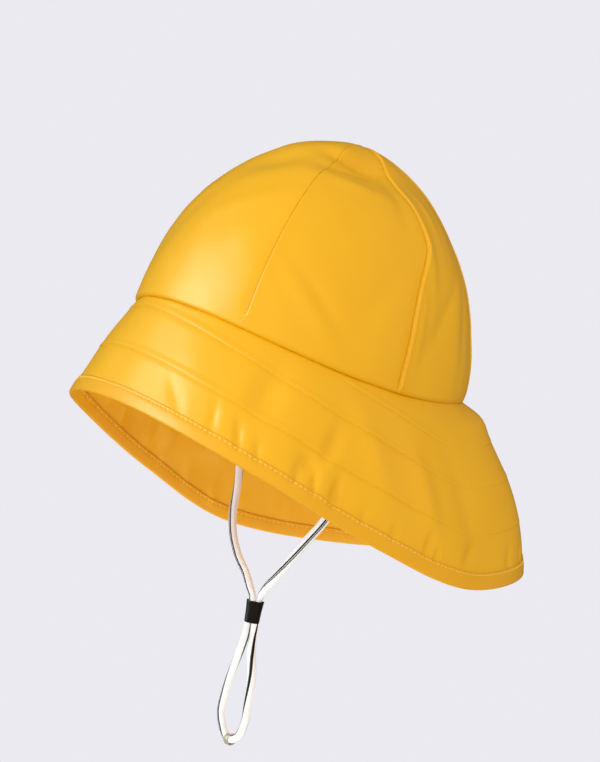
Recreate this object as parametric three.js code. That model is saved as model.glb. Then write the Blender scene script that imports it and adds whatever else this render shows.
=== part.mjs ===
// A sou'wester rain hat: six crown gores sewn to a pressed brim with a bound hem, and a
// chin cord with a barrel toggle and a crimped ring.
//
// Millimetres, +Z up, the front faces -Y and the wearer's left is +X. The origin is the
// middle of the head opening, where the hat sits on a head. The hat itself is drawn upright
// and then tipped back as it is worn, and the cord hangs straight down from it.

import * as THREE from 'three';

// Head opening and crown.
const HEAD_WIDTH = 177;
const HEAD_LENGTH = 204;
const CROWN_HEIGHT = 128;
const SEAM_WAVE = 7;
const TIP_HOLE = 1.4;
const HEM_OVERHANG = 1.8;
const HEM_ROLL_HEIGHT = 8;
const GORE_FLATNESS = 0.55;
const HEAD_RADIUS = (HEAD_WIDTH + HEAD_LENGTH) / 4;

// Brim and its binding.
const BRIM_REACH = 78;
const BRIM_DROP = 106;
const BRIM_BELLY = 9;
const LINE_FROM_HEM = [31, 58, 81];
const LINE_WIDTH = 4;
const LINE_HEIGHT = 0.8;
const BINDING_WIDTH = 8;

// Cloth and clearances.
const CROWN_CLOTH = 1.5;
const BRIM_CLOTH = 1.5;
const BINDING_CLOTH = 1;
const GAP = 0.3;
const WORN_TILT = 7.5;

// Chin cord, the toggle that slides on it, the ring crimped on its loop and the end tabs.
const CORD_DIAMETER = 3.6;
const CORD_SIDES = 8;
const CORD_STEPS = 78;
const STRANDS_APART = 4;
const TOGGLE_HEIGHT = 13;
const TOGGLE_WALL = 0.9;
const TOGGLE_PLAY = 0.6;
const TOGGLE_TURN = 50;
const RING_WIRE = 1.6;
const RING_PLAY = 0.6;
const RING_OPENING = 50;
const TAB_WIDTH = 14;
const TAB_HEIGHT = 20;
const TAB_CLOTH = 2;
const TAB_BELOW_SEAM = 12;

// Steps of the faceted walls.
const GORE_STEPS_ACROSS = 8;
const GORE_STEPS_UP = 15;
const BRIM_STEPS_ROUND = 72;

// Angles go round the hat from the front (0) over the wearer's left ear (90) to the back.
// One row for each seam between two gores: its angle at the hem, and how far it sways
// sideways, in degrees, at a height given as a share of the way up.
const SEAMS = [
  { angle: -150, sway: 0, swayAt: 0.5, swaySpread: 0.2 },
  { angle: -94, sway: -2, swayAt: 0.5, swaySpread: 0.2 },
  { angle: -37, sway: 0, swayAt: 0.5, swaySpread: 0.2 },
  { angle: 37, sway: 5, swayAt: 0.7, swaySpread: 0.4 },
  { angle: 94, sway: 7, swayAt: 0.47, swaySpread: 0.17 },
  { angle: 150, sway: 1, swayAt: 0.5, swaySpread: 0.2 },
];

const GORE_NAMES = [
  'crown_panel_back_right',
  'crown_panel_front_right',
  'crown_panel_front',
  'crown_panel_front_left',
  'crown_panel_back_left',
  'crown_panel_back',
];

// One row for each soft dent of the crown: where it is, how far it spreads in degrees and in
// shares of the way up, and its depth as a share of the crown's height.
const CROWN_DENTS = [
  { angle: 62, at: 0.72, wide: 24, tall: 0.1, deep: 0.036 },
  { angle: 14, at: 0.5, wide: 20, tall: 0.13, deep: 0.014 },
  { angle: 112, at: 0.16, wide: 11, tall: 0.12, deep: 0.012 },
  { angle: 144, at: 0.5, wide: 22, tall: 0.24, deep: 0.012 },
  { angle: -60, at: 0.66, wide: 20, tall: 0.12, deep: 0.018 },
  { angle: -120, at: 0.3, wide: 16, tall: 0.16, deep: 0.014 },
  { angle: 178, at: 0.55, wide: 20, tall: 0.14, deep: 0.016 },
];

// One row for each section of the brim: how far the hem stands out from the crown seam, how
// far it drops below it and how much the cloth bellies out between them, as shares of
// BRIM_REACH, BRIM_DROP and BRIM_BELLY.
const BRIM_SECTIONS = [
  { angle: -150, out: 0.83, drop: 0.935, belly: 0.93 },
  { angle: -120, out: 0.59, drop: 0.95, belly: 0.84 },
  { angle: -90, out: 0.41, drop: 0.79, belly: 0.65 },
  { angle: -60, out: 0.35, drop: 0.58, belly: 0.4 },
  { angle: -30, out: 0.27, drop: 0.51, belly: 0.18 },
  { angle: 0, out: 0.2, drop: 0.57, belly: 0.1 },
  { angle: 30, out: 0.27, drop: 0.6, belly: 0.18 },
  { angle: 60, out: 0.35, drop: 0.67, belly: 0.4 },
  { angle: 90, out: 0.41, drop: 0.79, belly: 0.65 },
  { angle: 120, out: 0.59, drop: 0.9, belly: 0.84 },
  { angle: 150, out: 0.82, drop: 0.84, belly: 0.93 },
  { angle: 180, out: 0.94, drop: 0.77, belly: 0.97 },
];

// One row for each soft pucker or fold of the brim: its angle, its middle as a share of the
// way down from the crown seam to the hem, its spread in degrees and in shares of that way,
// and its depth as a share of BRIM_BELLY.
const BRIM_FOLDS = [
  { angle: 67, at: 0.76, wide: 3.5, long: 0.13, deep: 0.2 },
  { angle: 77, at: 0.8, wide: 3.5, long: 0.12, deep: 0.16 },
  { angle: 25, at: 0.75, wide: 5, long: 0.2, deep: 0.12 },
  { angle: 112, at: 0.8, wide: 9, long: 0.14, deep: -0.15 },
  { angle: 128, at: 0.8, wide: 7, long: 0.14, deep: 0.2 },
  { angle: -105, at: 0.7, wide: 12, long: 0.2, deep: 0.25 },
  { angle: -40, at: 0.7, wide: 10, long: 0.2, deep: 0.15 },
  { angle: 180, at: 0.6, wide: 14, long: 0.22, deep: -0.2 },
];

// The route of the cord, from the left tab through the toggle, round the loop and back up to
// the right tab.
const CORD_ROUTE = [
  [85.7, -2.5, -19.3],
  [85.2, -3.3, -26],
  [81.8, -2.8, -40],
  [72.5, -1, -57.5],
  [62, 1, -74.5],
  [50, 2, -89.8],
  [37.8, 2.3, -102.3],
  [26.3, 2.4, -115.4],
  [14.5, 2.6, -128],
  [5, 3.4, -137.4],
  [1.5, 3.6, -143],
  [1.29, 3.53, -151],
  [1.5, 3.6, -159],
  [0.6, 4.2, -166.4],
  [2.5, 4.3, -176.1],
  [7.4, 3.8, -187.5],
  [9.9, 2.9, -204.2],
  [11, 2.3, -214.7],
  [8, 2, -223.5],
  [0, 2, -227.5],
  [-8, 2, -224.1],
  [-14, 2, -214.5],
  [-12.8, 1.6, -202.1],
  [-8.2, 1, -186.6],
  [-3.2, 0.2, -174],
  [-1, 0, -165.5],
  [-1.45, 0.4, -159],
  [-1.29, 0.47, -151],
  [-1.5, 0.45, -143],
  [-6.9, 1, -137.8],
  [-15.4, 2.2, -131.1],
  [-29.1, 3.8, -122.6],
  [-41, 6, -111.2],
  [-49.1, 9, -98.4],
  [-53.5, 12, -84],
  [-58, 13, -69],
  [-66, 10, -52],
  [-76.5, 4, -38],
  [-84, -1.8, -27],
  [-85.7, -2.5, -19.3],
];

// The toggle sits midway between its two strands, and the ring at the route's lowest point.
const TOGGLE_AT = [0, 2, -151];
const RING_AT = [0, 2, -227.5];

const rad = THREE.MathUtils.degToRad;
const HALF_CIRCLE = 180;
const FULL_CIRCLE = 360;

const YELLOW_CLOTH = new THREE.MeshStandardMaterial({ color: '#f0b41e', roughness: 0.5, metalness: 0 });
const YELLOW_TAPE = new THREE.MeshStandardMaterial({ color: '#f4ba2c', roughness: 0.5, metalness: 0 });
const WHITE_CORD = new THREE.MeshStandardMaterial({ color: '#f4f4f2', roughness: 0.85, metalness: 0 });
const BLACK_PLASTIC = new THREE.MeshStandardMaterial({ color: '#2b2826', roughness: 0.45, metalness: 0 });
const GREY_METAL = new THREE.MeshStandardMaterial({ color: '#b9b4a8', roughness: 0.35, metalness: 1 });

// A smooth bump that is 1 at its middle and fades over its spread.
function bump(distance, spread) {
  return Math.exp(-((distance / spread) ** 2));
}

// The smaller way round from one angle to another, in degrees.
function turnBetween(from, to) {
  const turn = (to - from) % FULL_CIRCLE;
  if (turn > HALF_CIRCLE) return turn - FULL_CIRCLE;
  if (turn < -HALF_CIRCLE) return turn + FULL_CIRCLE;
  return turn;
}

// A closed body from two walls of points with the same rows and columns. The outer wall is
// seen from outside with its columns running to the right and its rows running up. When the
// columns close round the hat, the last one joins the first.
function shellBetween(outer, inner, closedRound) {
  const rows = outer.length;
  const columns = outer[0].length;
  const positions = [];
  for (const wall of [outer, inner]) {
    for (const row of wall) {
      for (const point of row) positions.push(point.x, point.y, point.z);
    }
  }
  const at = (wall, row, column) => (wall * rows + row) * columns + (column % columns);
  const index = [];
  const quad = (a, b, c, d) => index.push(a, b, c, a, c, d);
  const lastColumn = closedRound ? columns : columns - 1;
  for (let row = 0; row < rows - 1; row += 1) {
    for (let column = 0; column < lastColumn; column += 1) {
      const right = column + 1;
      quad(at(0, row, column), at(0, row, right), at(0, row + 1, right), at(0, row + 1, column));
      quad(at(1, row, column), at(1, row + 1, column), at(1, row + 1, right), at(1, row, right));
    }
  }
  for (let column = 0; column < lastColumn; column += 1) {
    const right = column + 1;
    const top = rows - 1;
    quad(at(0, 0, right), at(0, 0, column), at(1, 0, column), at(1, 0, right));
    quad(at(0, top, column), at(0, top, right), at(1, top, right), at(1, top, column));
  }
  if (!closedRound) {
    const end = columns - 1;
    for (let row = 0; row < rows - 1; row += 1) {
      quad(at(0, row, 0), at(0, row + 1, 0), at(1, row + 1, 0), at(1, row, 0));
      quad(at(0, row + 1, end), at(0, row, end), at(1, row, end), at(1, row + 1, end));
    }
  }
  return bodyFrom(positions, index);
}

function bodyFrom(positions, index) {
  const geometry = new THREE.BufferGeometry();
  geometry.setAttribute('position', new THREE.Float32BufferAttribute(positions, 3));
  geometry.setIndex(index);
  geometry.computeVertexNormals();
  return geometry;
}

// The way straight out from the crown seam at an angle, level with the opening.
function outwardAt(angle) {
  const a = rad(angle);
  const out = new THREE.Vector3(Math.sin(a) / HEAD_WIDTH, -Math.cos(a) / HEAD_LENGTH, 0);
  return out.normalize();
}

// The crown seam: an oval that rises at the front and back and dips over the ears.
function seamPoint(angle) {
  const a = rad(angle);
  return new THREE.Vector3(
    Math.sin(a) * HEAD_WIDTH / 2,
    -Math.cos(a) * HEAD_LENGTH / 2,
    SEAM_WAVE * Math.cos(2 * a),
  );
}

// The angle of a seam between two gores, part of the way up.
function seamAngle(seam, up) {
  return seam.angle + seam.sway * bump(up - seam.swayAt, seam.swaySpread);
}

// The direction out of the smooth dome, which all gores share, so that the cut faces of two
// neighbours lie side by side.
function domeNormal(angle, up) {
  const lean = rad(90 * up);
  const out = outwardAt(angle);
  return out.multiplyScalar(Math.cos(lean) * CROWN_HEIGHT)
    .add(new THREE.Vector3(0, 0, Math.sin(lean) * HEAD_RADIUS))
    .normalize();
}

// A point on the outside of the crown. Each level is the seam oval drawn in, with its gores
// flattened towards the tip, then the dents are pressed in. Just above the seam the cloth
// rolls out over it.
function crownPoint(angle, up, gore) {
  const lean = rad(90 * up);
  const seam = seamPoint(angle);
  const half = rad(turnBetween(gore.from, gore.to) / 2);
  const middle = gore.from + turnBetween(gore.from, gore.to) / 2;
  const chord = Math.cos(half) / Math.cos(rad(turnBetween(middle, angle)));
  const flat = 1 + GORE_FLATNESS * up * (chord - 1);
  const point = new THREE.Vector3(
    seam.x * Math.cos(lean) * flat,
    seam.y * Math.cos(lean) * flat,
    seam.z * (1 - Math.sin(lean)) + CROWN_HEIGHT * Math.sin(lean),
  );
  let dent = 0;
  for (const row of CROWN_DENTS) {
    const across = bump(turnBetween(row.angle, angle), row.wide);
    dent += row.deep * CROWN_HEIGHT * across * bump(up - row.at, row.tall);
  }
  const height = CROWN_HEIGHT * Math.sin(lean);
  const overhang = HEM_OVERHANG * (1 - Math.max(0, 1 - height / HEM_ROLL_HEIGHT) ** 2);
  point.addScaledVector(domeNormal(angle, up), -dent);
  return point.addScaledVector(outwardAt(angle), overhang * Math.cos(lean) ** 2);
}

// One gore between two seams, with half a gap left along each of them.
function crownGore(fromSeam, toSeam) {
  const outer = [];
  const inner = [];
  const tip = 1 - THREE.MathUtils.radToDeg(TIP_HOLE / HEAD_RADIUS) / 90;
  for (let j = 0; j <= GORE_STEPS_UP; j += 1) {
    const up = tip * Math.sin(rad(90 * j / GORE_STEPS_UP)) ** 0.9;
    const gore = { from: seamAngle(fromSeam, up), to: seamAngle(toSeam, up) };
    const width = turnBetween(gore.from, gore.to);
    const radius = HEAD_RADIUS * Math.cos(rad(90 * up));
    const spare = THREE.MathUtils.radToDeg(GAP / 2 / radius);
    const outerRow = [];
    const innerRow = [];
    for (let i = 0; i <= GORE_STEPS_ACROSS; i += 1) {
      const angle = gore.from + spare + (width - 2 * spare) * i / GORE_STEPS_ACROSS;
      const point = crownPoint(angle, up, gore);
      outerRow.push(point);
      innerRow.push(point.clone().addScaledVector(domeNormal(angle, up), -CROWN_CLOTH));
    }
    outer.push(outerRow);
    inner.push(innerRow);
  }
  return shellBetween(outer, inner, false);
}

// A value of the brim table at any angle, on a smooth curve through its rows.
function brimShare(column, angle) {
  const count = BRIM_SECTIONS.length;
  const step = FULL_CIRCLE / count;
  const place = (turnBetween(BRIM_SECTIONS[0].angle, angle) / step + count) % count;
  const row = Math.floor(place);
  const s = place - row;
  const value = (offset) => BRIM_SECTIONS[(row + offset + count) % count][column];
  const slopeHere = (value(1) - value(-1)) / 2;
  const slopeNext = (value(2) - value(0)) / 2;
  const change = value(1) - value(0);
  const bend = 3 * change - 2 * slopeHere - slopeNext;
  const twist = slopeHere + slopeNext - 2 * change;
  return value(0) + s * (slopeHere + s * (bend + s * twist));
}

// One section through the brim: its top edge just under the crown's hem, the way down the
// cloth to the hem, its length, and the direction out of the cloth.
function brimSection(angle) {
  const out = outwardAt(angle);
  const top = seamPoint(angle).add(new THREE.Vector3(0, 0, -GAP));
  const reach = BRIM_REACH * brimShare('out', angle);
  const drop = BRIM_DROP * brimShare('drop', angle);
  const down = out.clone().multiplyScalar(reach).add(new THREE.Vector3(0, 0, -drop));
  const length = down.length();
  const normal = out.clone().multiplyScalar(drop).add(new THREE.Vector3(0, 0, reach)).normalize();
  return { angle, top, down: down.normalize(), length, normal };
}

// How far out of the straight line the cloth stands at a share of the way down.
function brimRise(section, share) {
  let rise = BRIM_BELLY * brimShare('belly', section.angle) * 4 * share * (1 - share);
  for (const fold of BRIM_FOLDS) {
    const across = bump(turnBetween(fold.angle, section.angle), fold.wide);
    rise -= fold.deep * BRIM_BELLY * across * bump(share - fold.at, fold.long);
  }
  return rise;
}

function brimPoint(section, fromHem, extra) {
  const share = 1 - fromHem / section.length;
  const rise = brimRise(section, share) + extra;
  return section.top.clone()
    .addScaledVector(section.down, section.length * share)
    .addScaledVector(section.normal, rise);
}

// The rows of the brim, measured from the hem: the hem, the edge of its binding, and a low
// pressed rib on each line, with a row between them. Where the brim is narrow the upper
// rows close up under the crown and their ribs fade out.
function brimRows(section) {
  const rows = [{ fromHem: 0, rib: 0 }, { fromHem: BINDING_WIDTH, rib: 0 }];
  let last = BINDING_WIDTH;
  for (const line of LINE_FROM_HEM) {
    rows.push({ fromHem: (last + line) / 2, rib: 0 });
    rows.push({ fromHem: line - LINE_WIDTH / 2, rib: 0 });
    rows.push({ fromHem: line, rib: LINE_HEIGHT });
    rows.push({ fromHem: line + LINE_WIDTH / 2, rib: 0 });
    last = line + LINE_WIDTH / 2;
  }
  rows.push({ fromHem: Math.max(last, (last + section.length) / 2), rib: 0 });
  rows.push({ fromHem: section.length, rib: 0 });
  const closest = LINE_HEIGHT * 1.5;
  return rows.map((row, i) => {
    const highest = section.length - closest * (rows.length - 1 - i);
    const fade = THREE.MathUtils.smoothstep(highest - row.fromHem, 0, LINE_WIDTH);
    return { fromHem: Math.min(row.fromHem, highest), rib: row.rib * fade };
  });
}

function brimSections() {
  const sections = [];
  for (let i = 0; i < BRIM_STEPS_ROUND; i += 1) {
    sections.push(brimSection(-HALF_CIRCLE + FULL_CIRCLE * i / BRIM_STEPS_ROUND));
  }
  return sections;
}

// The brim, one ring of cloth from the crown seam to the hem.
function brim() {
  const sections = brimSections();
  const rowsOf = sections.map(brimRows);
  const outer = rowsOf[0].map((_, j) => sections.map((section, i) => (
    brimPoint(section, rowsOf[i][j].fromHem, rowsOf[i][j].rib)
  )));
  const inner = rowsOf[0].map((_, j) => sections.map((section, i) => (
    brimPoint(section, rowsOf[i][j].fromHem, -BRIM_CLOTH)
  )));
  return shellBetween(outer, inner, true);
}

// The binding, a tape folded over the hem, with a gap to the brim inside it.
function brimBinding() {
  const far = GAP + BINDING_CLOTH;
  const positions = [];
  const sections = brimSections();
  for (const section of sections) {
    const { down, normal } = section;
    const hem = brimPoint(section, 0, 0);
    const edge = brimPoint(section, BINDING_WIDTH, 0);
    const along = hem.clone().sub(edge).normalize();
    const place = (from, out, beyond) => from.clone()
      .addScaledVector(normal, out)
      .addScaledVector(beyond === 0 ? down : along, beyond);
    const under = -BRIM_CLOTH;
    const loop = [
      place(edge, far, 0),
      place(edge, GAP, 0),
      place(hem, GAP, GAP),
      place(hem, under - GAP, GAP),
      place(edge, under - GAP, 0),
      place(edge, under - far, 0),
      place(hem, under - far, 0),
      place(hem, under, far),
      place(hem, 0, far),
      place(hem, far, 0),
    ];
    for (const point of loop) positions.push(point.x, point.y, point.z);
  }
  const size = positions.length / 3 / sections.length;
  const index = [];
  for (let i = 0; i < sections.length; i += 1) {
    const next = (i + 1) % sections.length;
    for (let j = 0; j < size; j += 1) {
      const k = (j + 1) % size;
      const a = i * size + j;
      const b = next * size + j;
      const c = next * size + k;
      const d = i * size + k;
      index.push(a, b, c, a, c, d);
    }
  }
  return bodyFrom(positions, index);
}

function roundOutline(radius, sides) {
  const outline = new THREE.Shape();
  for (let i = 0; i < sides; i += 1) {
    const a = rad(FULL_CIRCLE * (i + 0.5) / sides);
    if (i === 0) outline.moveTo(radius * Math.cos(a), radius * Math.sin(a));
    else outline.lineTo(radius * Math.cos(a), radius * Math.sin(a));
  }
  outline.closePath();
  return outline;
}

function chinCord() {
  const points = CORD_ROUTE.map((point) => new THREE.Vector3(...point));
  const route = new THREE.CatmullRomCurve3(points, false, 'centripetal');
  return new THREE.ExtrudeGeometry(roundOutline(CORD_DIAMETER / 2, CORD_SIDES), {
    steps: CORD_STEPS,
    extrudePath: route,
  });
}

// An oval with straight sides, `apart` between the middles of its round ends.
function slotOutline(outline, apart, radius) {
  outline.absarc(apart / 2, 0, radius, rad(-90), rad(90), false);
  outline.absarc(-apart / 2, 0, radius, rad(90), rad(270), false);
  outline.closePath();
  return outline;
}

// The barrel toggle, with a slot through it for the two strands side by side.
function cordToggle() {
  const bore = CORD_DIAMETER / 2 + TOGGLE_PLAY;
  const barrel = slotOutline(new THREE.Shape(), STRANDS_APART, bore + TOGGLE_WALL);
  barrel.holes.push(slotOutline(new THREE.Path(), STRANDS_APART, bore));
  const geometry = new THREE.ExtrudeGeometry(barrel, {
    depth: TOGGLE_HEIGHT,
    bevelEnabled: false,
    curveSegments: 8,
  });
  geometry.translate(0, 0, -TOGGLE_HEIGHT / 2);
  return geometry;
}

// The ring, an arc of wire round the cord at the bottom of its loop, open at the top.
class RingArc extends THREE.Curve {
  getPoint(share, target = new THREE.Vector3()) {
    const radius = CORD_DIAMETER / 2 + RING_PLAY + RING_WIRE / 2;
    const a = rad(90 + RING_OPENING / 2 + (FULL_CIRCLE - RING_OPENING) * share);
    return target.set(0, radius * Math.cos(a), radius * Math.sin(a));
  }
}

function cordRing() {
  return new THREE.ExtrudeGeometry(roundOutline(RING_WIRE / 2, 6), {
    steps: 14,
    extrudePath: new RingArc(),
  });
}

const southwester = new THREE.Group();

const hat = new THREE.Group();
hat.rotation.x = rad(-WORN_TILT);
southwester.add(hat);

function addPiece(group, name, geometry, material) {
  const mesh = new THREE.Mesh(geometry, material);
  mesh.name = name;
  group.add(mesh);
  return mesh;
}

SEAMS.forEach((seam, i) => {
  const next = SEAMS[(i + 1) % SEAMS.length];
  addPiece(hat, GORE_NAMES[i], crownGore(seam, next), YELLOW_CLOTH);
});
addPiece(hat, 'brim', brim(), YELLOW_CLOTH);
addPiece(hat, 'brim_binding', brimBinding(), YELLOW_TAPE);

// The tabs hang inside the crown's hem over the ears and hold the ends of the cord. Their
// flat backs stand clear of the wall, which curves in to both sides of them and above.
const curvesInBeside = HEAD_WIDTH / 2 * (1 - Math.sqrt(1 - (TAB_WIDTH / HEAD_LENGTH) ** 2));
const tabAboveSeam = TAB_HEIGHT - TAB_BELOW_SEAM;
const curvesInAbove = HEAD_WIDTH / 2 * (1 - Math.sqrt(1 - (tabAboveSeam / CROWN_HEIGHT) ** 2));
for (const [side, sign] of [['left', 1], ['right', -1]]) {
  const tab = addPiece(
    hat,
    `cord_tab_${side}`,
    new THREE.BoxGeometry(TAB_CLOTH, TAB_WIDTH, TAB_HEIGHT),
    YELLOW_TAPE,
  );
  const ear = seamPoint(90 * sign);
  const inset = CROWN_CLOTH + GAP + curvesInBeside + curvesInAbove + TAB_CLOTH / 2;
  tab.position.set(ear.x - sign * inset, 0, ear.z - TAB_BELOW_SEAM + TAB_HEIGHT / 2);
}

addPiece(southwester, 'chin_cord', chinCord(), WHITE_CORD);

const toggle = addPiece(southwester, 'cord_toggle', cordToggle(), BLACK_PLASTIC);
toggle.position.set(...TOGGLE_AT);
toggle.rotation.z = rad(TOGGLE_TURN);

const ring = addPiece(southwester, 'cord_ring', cordRing(), GREY_METAL);
ring.position.set(...RING_AT);

export default southwester;
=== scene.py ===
# %% [markdown]
# # A yellow sou'wester rain hat
#
# The real hat is made of coated cloth: six gores sewn into a dome, a turned-down brim that is
# pressed with raised ribs and runs out long at the back, and a folded tape sewn round the hem.
# A braided chin cord hangs from tabs over the ears. Both its strands run through a black
# barrel, and the loop below it carries a crimped metal ring. This lesson dresses the packed
# solid model with those cloth, cord, plastic and metal surfaces. Every surface is a formula
# worked out on a grid with numpy.

import math

import bpy
import numpy as np
from mathutils import Matrix, Vector


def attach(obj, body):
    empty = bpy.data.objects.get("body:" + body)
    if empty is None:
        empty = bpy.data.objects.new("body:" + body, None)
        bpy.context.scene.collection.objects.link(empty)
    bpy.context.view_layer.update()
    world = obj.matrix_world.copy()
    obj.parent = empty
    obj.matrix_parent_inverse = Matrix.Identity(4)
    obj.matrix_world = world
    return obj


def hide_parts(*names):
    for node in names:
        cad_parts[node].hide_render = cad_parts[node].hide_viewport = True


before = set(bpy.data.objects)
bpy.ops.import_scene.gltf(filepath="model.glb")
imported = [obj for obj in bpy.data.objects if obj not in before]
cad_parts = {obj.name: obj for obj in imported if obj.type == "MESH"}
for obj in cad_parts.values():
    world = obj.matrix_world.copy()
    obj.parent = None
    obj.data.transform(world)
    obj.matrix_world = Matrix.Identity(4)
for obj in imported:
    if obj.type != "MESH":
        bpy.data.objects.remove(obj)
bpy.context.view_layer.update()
print("nodes of the packed model:", sorted(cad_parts))

# %% [markdown]
# ## Units and directions
#
# Sewing patterns are drawn in millimetres, so the formulas are too, and one factor turns them
# into Blender's metres when a mesh is made. The front of the hat faces -Y, the wearer's left is
# +X and +Z is up. The hat is drawn upright and then tipped back by the angle at which it is
# worn. The cord hangs straight down, so it isn't tipped.

# %% Units and the tilt of the hat
MM = 0.001
WORN_TILT = 7.5


def tipped_back(points):
    """Points of the upright hat, turned about the X axis by the angle at which it is worn."""
    angle = math.radians(-WORN_TILT)
    x, y, z = np.moveaxis(np.asarray(points, float), -1, 0)
    turned_y = y * math.cos(angle) - z * math.sin(angle)
    turned_z = y * math.sin(angle) + z * math.cos(angle)
    return np.stack([x, turned_y, turned_z], -1)


def bump(distance, spread):
    """A soft bump: e to the power of minus the square of distance over spread."""
    return np.exp(-((distance / spread) ** 2))


# %% [markdown]
# ## The camera
#
# The camera comes first, because the cord is measured against what it sees. It stands to the
# left front of the hat, a little above the head opening, and is rolled so that the crown leans
# to the right. A long lens from a metre and a half away keeps the brim's ellipse flat.

# %% Place the camera
CAMERA_TURN = 54.0
CAMERA_RISE = 2.3
CAMERA_ROLL = 10.5
CAMERA_DISTANCE = 1548 * MM
SENSOR = 36.0
LENS = 125.8
AIM_RIGHT = 1.2 * MM
AIM_DOWN = 14.3 * MM


def make_camera():
    """The camera's three axes are worked out from turn, rise and roll, and it looks just
    beside the middle of the head opening."""
    turn, rise, roll = (math.radians(a) for a in (CAMERA_TURN, CAMERA_RISE, CAMERA_ROLL))
    back = Vector((math.sin(turn) * math.cos(rise), -math.cos(turn) * math.cos(rise), math.sin(rise)))
    level_right = Vector((math.cos(turn), math.sin(turn), 0))
    level_up = back.cross(level_right)
    right = level_right * math.cos(roll) + level_up * math.sin(roll)
    up = back.cross(right)
    data = bpy.data.cameras.new("camera")
    data.sensor_width = SENSOR
    data.lens = LENS
    camera = bpy.data.objects.new("camera", data)
    bpy.context.scene.collection.objects.link(camera)
    aim = right * AIM_RIGHT - up * AIM_DOWN
    camera.matrix_world = Matrix.Translation(aim + back * CAMERA_DISTANCE) @ Matrix(
        (right, up, back)
    ).transposed().to_4x4()
    bpy.context.scene.camera = camera
    return camera


camera = make_camera()
print("camera at", tuple(round(v, 3) for v in camera.location), "with a lens of", LENS, "mm")

# %% [markdown]
# ## Putting a grid into a mesh
#
# A surface here is a grid of points with rows and columns. Its quads turn anticlockwise when
# the columns run to the right and the rows run up, so that is the side that faces out. Cloth
# has two faces, so a cloth piece is two grids and the strips that join them at the edges.


# %% Grid faces and mesh pieces
def grid_quads(rows, columns, closed_round=False, first=0):
    """Quads between neighbours of a grid. When it is closed round, the last column joins the
    first."""
    column = np.arange(columns if closed_round else columns - 1)
    low = first + np.arange(rows - 1)[:, None] * columns
    here = low + column
    right = low + (column + 1) % columns
    return np.stack([here, right, right + columns, here + columns], -1).reshape(-1, 4)


def strip_quads(one, other):
    """Quads between two runs of vertex numbers of the same length."""
    return np.stack([one[:-1], other[:-1], other[1:], one[1:]], -1)


def end_rings(rows, columns):
    """The vertex numbers of a tube's first and last ring."""
    last = (rows - 1) * columns
    return np.arange(columns), np.arange(last, last + columns)


def cloth_faces(rows, columns, closed_round=False):
    """Faces of a cloth piece: the outer grid, the inner grid turned the other way, and the
    strips along its edges."""
    count = rows * columns
    outer = grid_quads(rows, columns, closed_round)
    inner = grid_quads(rows, columns, closed_round, count)[:, ::-1]
    number = np.arange(count).reshape(rows, columns)
    if closed_round:
        number = np.concatenate([number, number[:, :1]], 1)
    edges = [
        strip_quads(number[0], number[0] + count)[:, ::-1],
        strip_quads(number[-1], number[-1] + count),
    ]
    if not closed_round:
        edges.append(strip_quads(number[:, 0], number[:, 0] + count))
        edges.append(strip_quads(number[:, -1], number[:, -1] + count)[:, ::-1])
    return np.concatenate([outer, inner, *edges])


def make_piece(name, points, faces, materials, uv=None, caps=()):
    """A smooth mesh from points in millimetres. uv holds one pair for each vertex, and caps are
    the many-sided faces that close a tube's ends."""
    mesh = bpy.data.meshes.new(name)
    points = np.asarray(points, float).reshape(-1, 3) * MM
    mesh.from_pydata(points.tolist(), [], faces.tolist() + list(caps))
    for material in materials:
        mesh.materials.append(material)
    if uv is not None:
        corner = np.empty(len(mesh.loops), np.int32)
        mesh.loops.foreach_get("vertex_index", corner)
        layer = mesh.uv_layers.new(name="along")
        layer.data.foreach_set("uv", np.asarray(uv, np.float32)[corner].ravel())
    mesh.shade_smooth()
    piece = bpy.data.objects.new(name, mesh)
    bpy.context.scene.collection.objects.link(piece)
    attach(piece, "root")
    print(f"{name}: {len(mesh.vertices)} vertices, {len(mesh.polygons)} faces")
    return piece


# %% [markdown]
# ## Colours and nodes
#
# Colours are written as sRGB hex values, the way a swatch is, and one function makes them
# linear. Another small function adds a node: its properties, its values and its links.


# %% Colour and node helpers
def linear(hex_colour, alpha=1.0):
    """An sRGB hex colour as linear red, green, blue and alpha."""
    parts = [int(hex_colour[i : i + 2], 16) / 255 for i in (1, 3, 5)]
    return (*[p / 12.92 if p <= 0.04045 else ((p + 0.055) / 1.055) ** 2.4 for p in parts], alpha)


def add_node(tree, kind, inputs=None, **settings):
    """One node with its properties set, and its inputs filled with values or links."""
    made = tree.nodes.new(kind)
    for name, value in settings.items():
        setattr(made, name, value)
    for name, value in (inputs or {}).items():
        if isinstance(value, bpy.types.NodeSocket):
            tree.links.new(value, made.inputs[name])
        else:
            made.inputs[name].default_value = value
    return made


def new_material(name):
    """An empty material with its output and its node tree."""
    material = bpy.data.materials.new(name)
    material.use_nodes = True
    material.node_tree.nodes.clear()
    return material, material.node_tree


# %% [markdown]
# ## Coated cloth
#
# The hat is cut from polyurethane-coated polyester knit: a stretchy knit with a soft plastic
# film knife-coated on it. The film gives a satin shine with wide, soft highlights, and hides
# the knit apart from a very fine pebble. The roughness is that of a matt plastic film and the
# IOR is that of polyurethane. The pebble is drawn at 0.9 mm, coarser than the real one of about
# 0.3 mm, so that it just shows. The colour drifts slightly over a few centimetres, where the
# film is thicker or thinner.

# %% Coated cloth material
CLOTH_YELLOW = "#F5BB0B"
CLOTH_DEEP = "#F1B405"
DRIFT_SIZE = 45 * MM
PEBBLE_SIZE = 0.9 * MM
PEBBLE_HEIGHT = 0.03 * MM
POLYURETHANE_IOR = 1.5
FILM_ROUGHNESS = 0.39
TAPE_YELLOW = "#F0B30A"
TAPE_DEEP = "#ECAC06"
TAPE_ROUGHNESS = 0.4


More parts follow.
